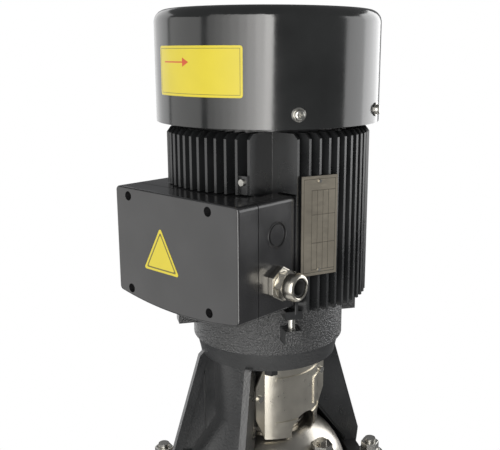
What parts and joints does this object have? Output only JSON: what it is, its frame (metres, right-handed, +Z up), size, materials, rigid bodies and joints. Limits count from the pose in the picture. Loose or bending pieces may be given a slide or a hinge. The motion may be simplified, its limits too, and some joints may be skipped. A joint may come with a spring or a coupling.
{
  "type": "vertical multistage pump",
  "caption": "Upright in-line multistage water pump: flanged foot, sleeve with staybolts, domed head, ribbed motor stool with coupling guards, finned motor with terminal box and fan cover.",
  "frame": {"origin": "on the shaft axis, at the underside of the base plate", "axes": "+Z up along the shaft, the ports lie along Y with the inlet at -Y, the terminal box faces -Y and its cable gland faces +X"},
  "size_m": [0.256, 0.3, 0.853],
  "materials": {
    "black_paint": "satin",
    "rough_black_casting": "matt",
    "stainless_casting": "satin",
    "stainless_sheet": "satin",
    "steel": "machined",
    "zinc": "bright",
    "nickel": "satin",
    "copper": "enamelled",
    "silicon_steel": "laminated",
    "rubber": "matt",
    "moulded_black": "satin",
    "moulded_grey": "matt",
    "aluminium_plate": "satin",
    "brass": "machined",
    "seal_carbide": "lapped"
  },
  "bodies": {
    "pump": {"base_plate": "rough_black_casting", "inlet_flange": "rough_black_casting", "outlet_flange": "rough_black_casting", "drive_end_shield": "rough_black_casting", "motor_stool": "black_paint", "motor_frame": "black_paint", "rear_shield": "black_paint", "fan_cover": "black_paint", "terminal_box_base": "black_paint", "terminal_box_cover": "black_paint", "pump_foot": "stainless_casting", "pump_head": "stainless_casting", "seal_cover": "stainless_casting", "outer_sleeve": "stainless_sheet", "inlet_chamber": "stainless_sheet", "stage_chambers": "stainless_sheet", "top_chamber": "stainless_sheet", "coupling_guard_right": "stainless_sheet", "coupling_guard_left": "stainless_sheet", "drain_plug": "stainless_sheet", "vent_plug": "stainless_sheet", "staybolts": "steel", "bearing_outer_rings": "steel", "flange_screws": "steel", "staybolt_washers": "zinc", "staybolt_nuts": "zinc", "guard_screws": "zinc", "seal_cover_screws": "zinc", "shield_tie_screws": "zinc", "fan_cover_screws": "zinc", "terminal_cover_screws": "zinc", "earth_screw": "zinc", "nameplate_rivets": "zinc", "cable_gland_body": "nickel", "gland_dome_nut": "nickel", "gland_lock_nut": "nickel", "stator_windings": "copper", "stator_core": "silicon_steel", "sleeve_seal_rings": "rubber", "terminal_box_gasket": "rubber", "terminal_block": "moulded_grey", "neck_rings": "moulded_grey", "nameplate": "aluminium_plate", "terminal_studs": "brass", "seal_stationary_ring": "seal_carbide", "shaft_bushes": "seal_carbide"},
    "rotor": {"motor_shaft": "steel", "rotor_core": "silicon_steel", "bearing_inner_rings": "steel", "bearing_balls": "steel", "cooling_fan": "moulded_black", "coupling_half_right": "steel", "coupling_half_left": "steel", "coupling_screws": "steel", "coupling_pin": "steel", "pump_shaft": "stainless_sheet", "shaft_nut": "steel", "impellers": "stainless_sheet", "seal_rotating_ring": "seal_carbide"},
    "bleed_valve": {"bleed_screw": "stainless_sheet"}
  },
  "joints": [
    {"name": "rotor_spin", "type": "hinge", "parent": "pump", "child": "rotor", "pos_m": [0, 0, 0.48], "axis": [0, 0, 1], "continuous": true},
    {"name": "bleed_turn", "type": "hinge", "parent": "pump", "child": "bleed_valve", "pos_m": [0.077, 0, 0.409], "axis": [0, 0, 1], "range_deg": [0, 360]}
  ]
}
